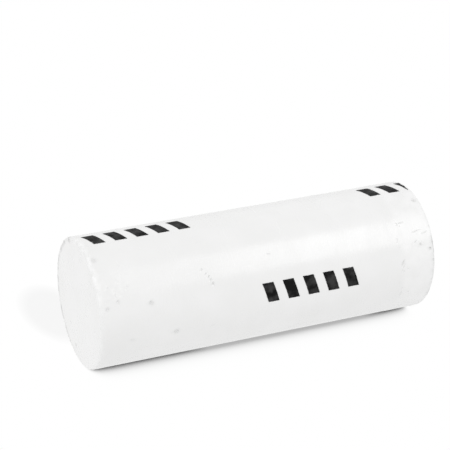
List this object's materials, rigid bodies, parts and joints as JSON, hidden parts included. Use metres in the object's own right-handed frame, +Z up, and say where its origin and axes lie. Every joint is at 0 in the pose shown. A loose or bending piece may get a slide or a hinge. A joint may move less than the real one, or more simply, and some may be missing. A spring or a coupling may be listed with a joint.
{
  "type": "buffing compound bar",
  "caption": "Solid round bar of wax-bound polishing abrasive with square ends, pressed against a spinning buffing wheel to charge it.",
  "frame": {"origin": "middle of the end face that the bar stands on, at floor level", "axes": "+Z up the bar's own axis, from the end that the picture hides to the end that it shows; +X and +Y across the bar"},
  "size_m": [0.04, 0.04, 0.11],
  "materials": {
    "compound": "satin",
    "print_ink": "matte"
  },
  "bodies": {
    "root": {"compound_bar": "compound"}
  },
  "joints": []
}
